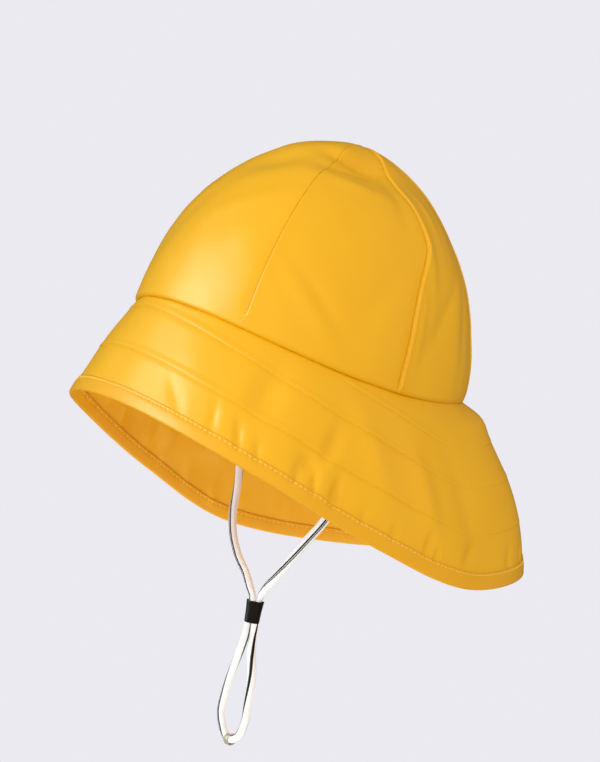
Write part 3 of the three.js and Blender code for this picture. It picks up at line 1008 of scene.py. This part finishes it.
# %% Sections of the brim
BRIM_REACH = 78
BRIM_DROP = 106
BRIM_BELLY = 9
LINE_FROM_HEM = [31, 58, 81]
LINE_WIDTH = 4
LINE_HEIGHT = 0.42
LINE_GROOVE = 0.4
BRIM_CLOTH = 1.5
GAP = 0.3
TUCK_WIDTH = 1.2
TUCK_IN = 1.8
TUCK_UP = 2.4
BINDING_WIDTH = 8
BRIM_SECTIONS = table(
    "angle out drop belly",
    (-150, 0.83, 0.935, 0.93),
    (-120, 0.59, 0.95, 0.84),
    (-90, 0.41, 0.745, 0.65),
    (-60, 0.37, 0.58, 0.4),
    (-30, 0.28, 0.555, 0.18),
    (0, 0.2, 0.57, 0.1),
    (30, 0.27, 0.6, 0.18),
    (60, 0.35, 0.67, 0.4),
    (90, 0.41, 0.79, 0.65),
    (120, 0.59, 0.9, 0.84),
    (150, 0.835, 0.825, 1.25),
    (180, 0.95, 0.77, 1.05),
)
BRIM_FOLDS = table(
    "angle at wide long deep",
    (150, 0.14, 18, 0.1, -0.4),
    (67, 0.76, 3.5, 0.13, 0.2),
    (77, 0.8, 3.5, 0.12, 0.16),
    (25, 0.75, 5, 0.2, 0.12),
    (112, 0.8, 9, 0.14, -0.15),
    (128, 0.8, 7, 0.14, 0.2),
    (-105, 0.7, 12, 0.2, 0.25),
    (-40, 0.7, 10, 0.2, 0.15),
    (180, 0.6, 14, 0.22, -0.2),
)
BRIM_CREASES = table(
    "angle from_hem turn long wide deep",
    (26.5, 15, -45, 11, 3, 1.02),
    (39.5, 15, -80, 8, 2.6, 1.02),
    (47.5, 13, -74, 9, 2.5, 1.7),
    (53.5, 11, -80, 6, 2.1, 1.36),
    (52, 44, 75, 18, 8, 2.2),
    (86, 46, -62, 24, 9, -1.6),
    (118, 50, -72, 30, 10, 1.4),
    (72.5, 37, 74, 12, 4, 1.87),
    (64.5, 11, 80, 6, 1.8, 1.53),
    (67, 20, 15, 5, 2.6, 1.53),
    (69.6, 11, 90, 7, 1.8, 1.7),
    (75.8, 12.5, 86, 9, 2.4, 2.21),
    (84.5, 9, 80, 4, 1.8, 1.02),
    (94, 10, 80, 5, 2.5, 1.36),
    (103, 41, -72, 22, 8, -2.04),
    (105.2, 14, 80, 6, 2.4, 1.87),
    (108, 10, 85, 4, 1.8, 1.36),
    (120.5, 17, 33, 8, 3, 1.53),
    (138, 13, 80, 6, 3, 1.02),
    (-62, 26, 60, 12, 6, 1.5),
    (-78, 20, 100, 10, 5, -1.6),
    (-92, 27, 75, 14, 6, 1.7),
    (-108, 22, 110, 12, 6, -1.5),
    (-45, 24, 110, 12, 5, 1.3),
)
PRESSED_IN = 1.3
PUCKERS_FROM = 148
PUCKERS_TO = 338
PUCKER_STEP = 8.5
PUCKER_SEED = 11


def unseen_puckers():
    """More puckers for the rest of the hem: one in each step of angle, with its place, length,
    width and depth drawn from seeded dice."""
    dice = np.random.default_rng(PUCKER_SEED)
    rows = []
    for angle in np.arange(PUCKERS_FROM, PUCKERS_TO, PUCKER_STEP):
        rows.append({
            "angle": turn_between(0, angle + dice.uniform(-3, 3)),
            "from_hem": dice.uniform(9, 17),
            "turn": dice.uniform(70, 110),
            "long": dice.uniform(4, 10),
            "wide": dice.uniform(1.8, 3.2),
            "deep": dice.uniform(0.4, 1.5),
        })
    return rows


BRIM_CREASES += unseen_puckers()


def brim_share(column, angle):
    """A value of the table at any angle: a cubic between two rows, whose slope at a row is
    half of the change from the row before to the row after."""
    values = np.array([row[column] for row in BRIM_SECTIONS])
    count = len(values)
    place = (np.asarray(angle) - BRIM_SECTIONS[0]["angle"]) / (360 / count) % count
    row = np.floor(place).astype(int)
    s = place - row
    before, here, after, beyond = (values[(row + k) % count] for k in (-1, 0, 1, 2))
    slope_here, slope_next = (after - before) / 2, (beyond - here) / 2
    change = after - here
    bend = 3 * change - 2 * slope_here - slope_next
    twist = slope_here + slope_next - 2 * change
    return here + s * (slope_here + s * (bend + s * twist))


def brim_sections(angle):
    """The top edge just under the crown, the unit way down the cloth, its length and the
    direction out of it, at each angle."""
    out = outward(angle)
    upward = np.array([0, 0, 1.0])
    reach = (BRIM_REACH * brim_share("out", angle))[:, None]
    drop = (BRIM_DROP * brim_share("drop", angle))[:, None]
    down = out * reach - upward * drop
    return {
        "angle": angle,
        "top": seam_point(angle) - upward * GAP,
        "down": unit(down),
        "length": np.linalg.norm(down, axis=1),
        "normal": unit(out * drop + upward * reach),
    }


def brim_rise(sections, from_hem):
    """How far the cloth stands out of the straight way: a parabola, less the folds and the
    creases. A crease's way across is measured at the radius where it lies."""
    angle, length = sections["angle"], sections["length"]
    share = 1 - from_hem / length
    rise = BRIM_BELLY * brim_share("belly", angle) * 4 * share * (1 - share)
    for fold in BRIM_FOLDS:
        across = bump(turn_between(fold["angle"], angle), fold["wide"])
        rise = rise - fold["deep"] * BRIM_BELLY * across * bump(share - fold["at"], fold["long"])
    radius = HEAD_RADIUS + BRIM_REACH * brim_share("out", angle) * share
    creases = crease_depth(
        BRIM_CREASES,
        lambda row: np.radians(turn_between(row["angle"], angle)) * radius,
        lambda row: from_hem - row["from_hem"],
    )
    on_binding = np.clip((from_hem - 2) / BINDING_WIDTH, 0, 1)
    return rise - PRESSED_IN * creases * on_binding


FLATTENED = table(
    "angle wide share",
    (122, 16, 0.8),
    (158, 22, 0.5),
)


def rib_rise(angle, from_hem, length):
    """From above, a tuck rises along a smooth step to its crest, then drops as a quarter round
    to its stitched edge, where a fine groove lies. It fades where it runs under the crown, and
    where the cloth was pressed flat over the left shoulder."""
    pressed = 1.0
    for row in FLATTENED:
        pressed = pressed - row["share"] * bump(turn_between(row["angle"], angle), row["wide"])
    crest = -0.3 * LINE_WIDTH
    edge = -0.5 * LINE_WIDTH
    start = 0.7 * LINE_WIDTH
    rise = 0 * from_hem
    for line in LINE_FROM_HEM:
        above = from_hem - line
        fade = np.clip((length - line) / LINE_WIDTH, 0, 1) * pressed
        climb = np.clip((start - above) / (start - crest), 0, 1)
        climb = climb**2 * (3 - 2 * climb)
        fall = np.sqrt(np.clip(1 - (np.maximum(crest - above, 0) / (crest - edge)) ** 2, 0, 1))
        groove = LINE_GROOVE * bump(above - edge + 0.25, 0.4)
        rise = rise + fade * (LINE_HEIGHT * climb * fall - groove)
    return rise


def brim_points(sections, from_hem, extra):
    """Points at a distance from the hem, out of the straight way by the rise and `extra`. The
    last millimetre is tucked in and up behind the crown's hem."""
    length = sections["length"]
    straight = sections["top"] + sections["down"] * (length - from_hem)[..., None]
    soft = rumple(straight) * np.clip(from_hem / BINDING_WIDTH, 0.3, 1)
    rise = brim_rise(sections, from_hem) + soft + extra
    tucked = np.clip(1 - (length - from_hem) / TUCK_WIDTH, 0, 1)[..., None]
    behind = np.array([0, 0, TUCK_UP]) - outward(sections["angle"]) * TUCK_IN
    return straight + sections["normal"] * rise[..., None] + behind * tucked


# %% Build the brim
BRIM_COLUMNS = 520
CLOSEST_ROWS = 0.04
LONGEST_WAY = 132
ROW_STEP = 3.2
LINE_ROWS = 18
LINE_ROOM = 1.8


def brim_rows():
    """Distances from the hem: steps of 3.2 mm, and steps of about 0.4 mm across each rib."""
    coarse = np.arange(0, LONGEST_WAY, ROW_STEP)
    fine = np.linspace(-0.5 * LINE_WIDTH - 1, 0.5 * LINE_WIDTH + 1.4, LINE_ROWS)
    lines = np.array(LINE_FROM_HEM)
    keep = np.all(np.abs(coarse[:, None] - lines) > LINE_WIDTH / 2 + LINE_ROOM, axis=1)
    return np.sort(np.concatenate([coarse[keep], (lines[:, None] + fine).ravel()]))


brim_angle = -180 + 360 * np.arange(BRIM_COLUMNS) / BRIM_COLUMNS
sections = brim_sections(brim_angle)
row_from_hem = brim_rows()[:, None]
room_above = CLOSEST_ROWS * np.arange(len(row_from_hem))[::-1, None]
from_hem = np.minimum(row_from_hem, sections["length"] - room_above)
ribs = rib_rise(brim_angle, from_hem, sections["length"])
brim_outer = brim_points(sections, from_hem, ribs)
brim_inner = brim_points(sections, from_hem, 0 * ribs - BRIM_CLOTH)
brim = make_piece(
    "ribbed_brim",
    tipped_back(np.concatenate([brim_outer, brim_inner])),
    cloth_faces(len(row_from_hem), BRIM_COLUMNS, closed_round=True),
    [cloth_material],
)
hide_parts("brim")

# %% [markdown]
# ## The binding
#
# A tape is folded over the hem and stitched through, so its section is a long loop round the
# brim's edge: flat above and below, round at the fold. The row of stitches pulls it down
# beside its upper edge, deepest at the needle holes.

# %% Binding surface
BINDING_CLOTH = 0.5
BINDING_EASE = 0.12
BINDING_SWELL = 0.22
STITCH_PITCH = 3.2
STITCH_FROM_EDGE = 1.5
STITCH_SINK = 0.16
NEEDLE_SINK = 0.34
HOLE_SHARE = 0.22
STITCH_DENT = 0.8
BINDING_COLUMNS = 1440

binding_angle = -180 + 360 * np.arange(BINDING_COLUMNS) / BINDING_COLUMNS
binding_sections = brim_sections(binding_angle)
hem_line = brim_points(binding_sections, 0 * binding_angle, 0 * binding_angle)
hem_travel = along(np.concatenate([hem_line, hem_line[:1]]))
stitch_count = int(round(hem_travel[-1] / STITCH_PITCH))
stitch_phase = hem_travel / hem_travel[-1] * stitch_count
print(f"the hem is {hem_travel[-1]:.0f} mm round, with {stitch_count} stitches")


def binding_profile(side_steps, fold_steps):
    """The loop as pairs: distance from the hem and height over the brim's middle. It goes down
    the outside, round the fold, up the inside and back along the tape's other face."""
    half = BRIM_CLOTH / 2 + BINDING_EASE
    far = half + BINDING_CLOTH
    lift = np.linspace(BINDING_WIDTH, 0, side_steps)
    swell = far + BINDING_SWELL * np.sin(np.pi * lift / BINDING_WIDTH)
    fold = np.radians(np.linspace(0, 180, fold_steps))[1:-1]
    outside = np.stack([lift, swell], 1)
    round_out = np.stack([-far * np.sin(fold), far * np.cos(fold)], 1)
    inside = np.stack([lift[::-1], -swell[::-1]], 1)
    back_up = np.stack([lift, np.full(side_steps, -half)], 1)
    round_in = np.stack([-half * np.sin(fold[::-1]), half * np.cos(fold[::-1])], 1)
    back_down = np.stack([lift[::-1], np.full(side_steps, half)], 1)
    return np.concatenate([outside, round_out, inside, back_up, round_in, back_down])


def binding_points():
    """The profile carried round the hem, sunk along the stitches and at the needle holes."""
    profile = binding_profile(12, 9)
    from_hem = profile[:, :1]
    height = profile[:, 1:] - BRIM_CLOTH / 2
    hole = bump((stitch_phase[:-1] + 0.5) % 1 - 0.5, HOLE_SHARE)
    near_stitch = bump(from_hem - (BINDING_WIDTH - STITCH_FROM_EDGE), STITCH_DENT)
    sink = (STITCH_SINK + NEEDLE_SINK * hole) * near_stitch * np.sign(profile[:, 1:])
    on_cloth = np.maximum(from_hem, 0)
    points = brim_points(binding_sections, on_cloth + 0 * binding_angle, height - sink)
    beyond = np.minimum(from_hem, 0)[..., None]
    return points - binding_sections["down"] * beyond


binding_loop = binding_points()
binding = make_piece(
    "folded_binding",
    tipped_back(binding_loop),
    torus_faces(len(binding_loop), BINDING_COLUMNS)[:, ::-1],
    [tape_material],
)
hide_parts("brim_binding")

# %% [markdown]
# ## The stitches
#
# Each stitch is a short thread that comes up through one needle hole, arches over the tape and
# goes down through the next. One small tube is made at the origin, then all its copies are
# placed at once by adding up their three directions, and joined into one mesh. Inside, the
# stitches lean by turns to one side and the other, as a zigzag does. The thread is spun
# polyester, dyed paler than the tape and matt, so a row shows as light dashes. It takes the
# cloth's recipe with its own yellows.

# %% Stitch surface
THREAD_YELLOW = "#FFDC66"
THREAD_DEEP = "#F8C840"
THREAD_ROUGHNESS = 0.6
THREAD_RADIUS = 0.3
STITCH_LENGTH = 2.5
STITCH_ARCH = 0.28
STITCH_SUNK_SHARE = 0.6
ZIGZAG_LEAN = 24

thread_material = coated_cloth(
    "spun_polyester_thread", THREAD_YELLOW, THREAD_DEEP, THREAD_ROUGHNESS
)


def thread_tube(rings, sides):
    """A tube along X: its middle line arches as a cosine and its radius closes at both ends
    as a half round."""
    s = np.linspace(-1, 1, rings)[:, None]
    a = 2 * np.pi * np.arange(sides)[None, :] / sides
    radius = THREAD_RADIUS * np.sqrt(1 - 0.97 * s**6)
    x = s * STITCH_LENGTH / 2 + 0 * a
    y = radius * np.cos(a)
    z = radius * np.sin(a) + STITCH_ARCH * (np.cos(np.pi / 2 * s) - STITCH_SUNK_SHARE)
    return np.stack([x, y, z], -1).reshape(-1, 3)


def stitch_row(name, side, lean):
    """Stitches along the binding's outside (side 1) or inside (side -1)."""
    middle = np.arange(stitch_count) + 0.5
    angle = np.interp(middle, stitch_phase, np.append(binding_angle, 180))
    at = brim_sections(angle)
    height = BRIM_CLOTH / 2 + BINDING_EASE + BINDING_CLOTH + BINDING_SWELL * 0.5 - STITCH_SINK
    from_hem = 0 * angle + BINDING_WIDTH - STITCH_FROM_EDGE
    row = brim_points(at, from_hem, side * height - BRIM_CLOTH / 2)
    straight = unit(np.roll(row, -1, axis=0) - np.roll(row, 1, axis=0))
    out = at["normal"] * side
    square = np.cross(out, straight)
    tilt = np.radians(lean * (-1.0) ** np.arange(stitch_count))[:, None]
    way = straight * np.cos(tilt) + square * np.sin(tilt)
    beside = square * np.cos(tilt) - straight * np.sin(tilt)
    rings, sides = 7, 6
    tube = thread_tube(rings, sides)
    axes = np.stack([way, beside, out], 1)
    points = row[:, None] + np.einsum("pk,skc->spc", tube, axes)
    faces = grid_quads(rings, sides, closed_round=True)
    shift = np.arange(stitch_count)[:, None, None] * rings * sides
    first_ring, last_ring = end_rings(rings, sides)
    caps = (shift + np.stack([first_ring, last_ring[::-1]])).reshape(-1, sides).tolist()
    turned = (faces + shift).reshape(-1, 4)[:, ::-1]
    return make_piece(
        name, tipped_back(points), turned, [thread_material], caps=caps
    )


stitch_row("binding_stitches_outside", 1, 0)
stitch_row("binding_stitches_inside", -1, ZIGZAG_LEAN)

# %% [markdown]
# ## The tabs over the ears
#
# Each end of the cord is sewn into a tab of folded tape inside the hem. A tab is a flat
# cushion: its thickness falls off towards its edges as an eighth power.

# %% Tabs
TAB_WIDTH = 14
TAB_HEIGHT = 20
TAB_CLOTH = 2
TAB_BELOW_SEAM = 12
TAB_EDGE = 0.25


def tab_inset():
    """How far the head opening's oval and the dome curve inwards over half a tab's width and
    over the part of the tab that stands above the seam."""
    above = TAB_HEIGHT - TAB_BELOW_SEAM
    round_oval = 1 - math.sqrt(1 - (TAB_WIDTH / HEAD_LENGTH) ** 2)
    round_dome = 1 - math.sqrt(1 - (above / CROWN_HEIGHT) ** 2)
    return HEAD_WIDTH / 2 * (round_oval + round_dome)


def tab_points(sign, steps):
    """Two faces of a grid over the tab's width and height, apart by its thickness."""
    ear = seam_point(np.array(90.0 * sign))
    across = np.linspace(-1, 1, steps)
    y, z = np.meshgrid(across * TAB_WIDTH / 2, across * TAB_HEIGHT / 2)
    from_middle = np.maximum(np.abs(across[:, None]), np.abs(across[None, :]))
    edge = (1 - from_middle**8) * (1 - TAB_EDGE) + TAB_EDGE
    inset = CLOTH + GAP + tab_inset() + TAB_CLOTH / 2
    middle = np.array([ear[0] - sign * inset, 0, ear[2] - TAB_BELOW_SEAM + TAB_HEIGHT / 2])
    faces = [np.stack([side * edge * TAB_CLOTH / 2, y, z], -1) for side in (1, -1)]
    return tipped_back(np.concatenate(faces) + middle)


tab_steps = 25
for side, sign in (("left", 1), ("right", -1)):
    tab = make_piece(
        f"sewn_tab_{side}",
        tab_points(sign, tab_steps),
        cloth_faces(tab_steps, tab_steps),
        [tape_material],
    )
    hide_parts(f"cord_tab_{side}")

# %% [markdown]
# ## Floor, light and background
#
# The photograph is a studio shot on a pale grey that has no edge. The floor is a disc that is
# painted where the hat's shadow falls and glows in the background's colour further out, so
# its rim can't be told from the background.

# %% Floor and world
BACKDROP = "#EBEAF0"
FLOOR_PAINT = "#FAFBFF"
FLOOR_SIDES = 96
FLOOR_HEIGHT = -350
FLOOR_RADIUS = 3000
FLOOR_SHADE_FROM = 0.25
FLOOR_SHADE_TO = 0.45
AMBIENT_BELOW = 0.55
AMBIENT_ABOVE = 0.88
AMBIENT_SHINE = 0.07


def floor_material():
    """Pale paint in the middle, mixed by the distance from it into an even glow."""
    material, tree = new_material("painted_floor")
    place = add_node(tree, "ShaderNodeTexCoord").outputs["Object"]
    level = add_node(tree, "ShaderNodeVectorMath", {0: place, 1: (1, 1, 0)}, operation="MULTIPLY")
    reach = add_node(tree, "ShaderNodeVectorMath", {0: level.outputs[0]}, operation="LENGTH")
    outer = add_node(
        tree,
        "ShaderNodeMapRange",
        {
            "Value": reach.outputs["Value"],
            "From Min": FLOOR_SHADE_FROM,
            "From Max": FLOOR_SHADE_TO,
        },
        interpolation_type="SMOOTHSTEP",
    )
    paint = add_node(
        tree, "ShaderNodeBsdfPrincipled", {"Base Color": linear(FLOOR_PAINT), "Roughness": 0.8}
    )
    glow = add_node(tree, "ShaderNodeEmission", {"Color": linear(BACKDROP), "Strength": 1.0})
    mix = add_node(
        tree,
        "ShaderNodeMixShader",
        {0: outer.outputs["Result"], 1: paint.outputs["BSDF"], 2: glow.outputs["Emission"]},
    )
    add_node(tree, "ShaderNodeOutputMaterial", {"Surface": mix.outputs["Shader"]})
    return material


def make_floor():
    """One flat round face, wide enough to fade out unseen. The hat neither mirrors it nor
    takes its colour."""
    turn = 2 * np.pi * np.arange(FLOOR_SIDES) / FLOOR_SIDES
    ring = np.stack([np.cos(turn), np.sin(turn), 0 * turn], 1) * FLOOR_RADIUS * MM
    mesh = bpy.data.meshes.new("studio_floor")
    mesh.from_pydata((ring + (0, 0, FLOOR_HEIGHT * MM)).tolist(), [], [list(range(FLOOR_SIDES))])
    mesh.materials.append(floor_material())
    floor = bpy.data.objects.new("studio_floor", mesh)
    bpy.context.scene.collection.objects.link(floor)
    floor.visible_glossy = False
    floor.visible_diffuse = False


def make_world():
    """The camera sees the backdrop's colour. A ray that leaves a matt surface finds soft light
    there, stronger from above than from below. A shine finds it nearly dark, as in a studio
    hung with black screens, which keeps the yellow deep."""
    world = bpy.data.worlds.new("studio")
    world.use_nodes = True
    tree = world.node_tree
    tree.nodes.clear()
    ray = add_node(tree, "ShaderNodeLightPath")
    way = add_node(tree, "ShaderNodeTexCoord").outputs["Generated"]
    upwards = add_node(
        tree,
        "ShaderNodeMapRange",
        {
            "Value": add_node(tree, "ShaderNodeSeparateXYZ", {"Vector": way}).outputs["Z"],
            "From Min": -1.0,
            "To Min": AMBIENT_BELOW,
            "To Max": AMBIENT_ABOVE,
        },
    )
    soft = add_node(
        tree,
        "ShaderNodeMapRange",
        {
            "Value": ray.outputs["Is Diffuse Ray"],
            "To Min": AMBIENT_SHINE,
            "To Max": upwards.outputs["Result"],
        },
    )
    strength = add_node(
        tree,
        "ShaderNodeMapRange",
        {"Value": ray.outputs["Is Camera Ray"], "To Min": soft.outputs["Result"], "To Max": 1.0},
    )
    glow = add_node(
        tree,
        "ShaderNodeBackground",
        {"Color": linear(BACKDROP), "Strength": strength.outputs["Result"]},
    )
    add_node(tree, "ShaderNodeOutputWorld", {"Surface": glow.outputs["Background"]})
    bpy.context.scene.world = world


make_floor()
make_world()

# %% [markdown]
# ## The lamps
#
# The key stands in front of the hat and a little above it, on the left of the picture. The
# sheen is a wide panel beside it that gives shine and nothing else, for the broad pale gloss on
# the film. The fill and the rim are warm, which keeps the shaded yellow warm. The bounce lies
# under the hat and the low lamp in front of it, to light the cord and the brim's inside.

# %% Lights
LIGHTS = table(
    "name at size power colour gives",
    ("key", (-0.33, -1.81, 0.5), 0.8, 11.2, "#FBFFFB", "both"),
    ("sheen", (-0.5, -1.75, 0.35), 1.7, 28, "#FFFFFF", "shine"),
    ("fill", (1.6, -0.85, 0.5), 0.7, 10.6, "#FFE6B4", "light"),
    ("rim", (1.5, 1.1, 0.5), 1.2, 3.0, "#FFE0AA", "light"),
    ("bounce", (0, 0, -0.34), 0.5, 0.95, "#FFEFC8", "light"),
    ("low", (0.35, -1.3, -0.24), 0.5, 2.6, "#FAFCFF", "light"),
)


def make_light(name, at, size, power, colour, gives):
    """A square area light that faces the middle of the hat. It isn't seen itself, and gives
    plain light, or shine, or both."""
    data = bpy.data.lights.new(name, "AREA")
    data.size = size
    data.energy = power
    data.color = linear(colour)[:3]
    light = bpy.data.objects.new(name, data)
    bpy.context.scene.collection.objects.link(light)
    light.location = at
    light.rotation_euler = (-Vector(at)).to_track_quat("-Z", "Y").to_euler()
    light.visible_camera = False
    light.visible_glossy = gives != "light"
    light.visible_diffuse = gives != "shine"


for light_row in LIGHTS:
    make_light(**light_row)
print("lamps:", [light_row["name"] for light_row in LIGHTS])

bpy.context.scene.view_settings.view_transform = "Standard"
bpy.context.scene.view_settings.look = "None"
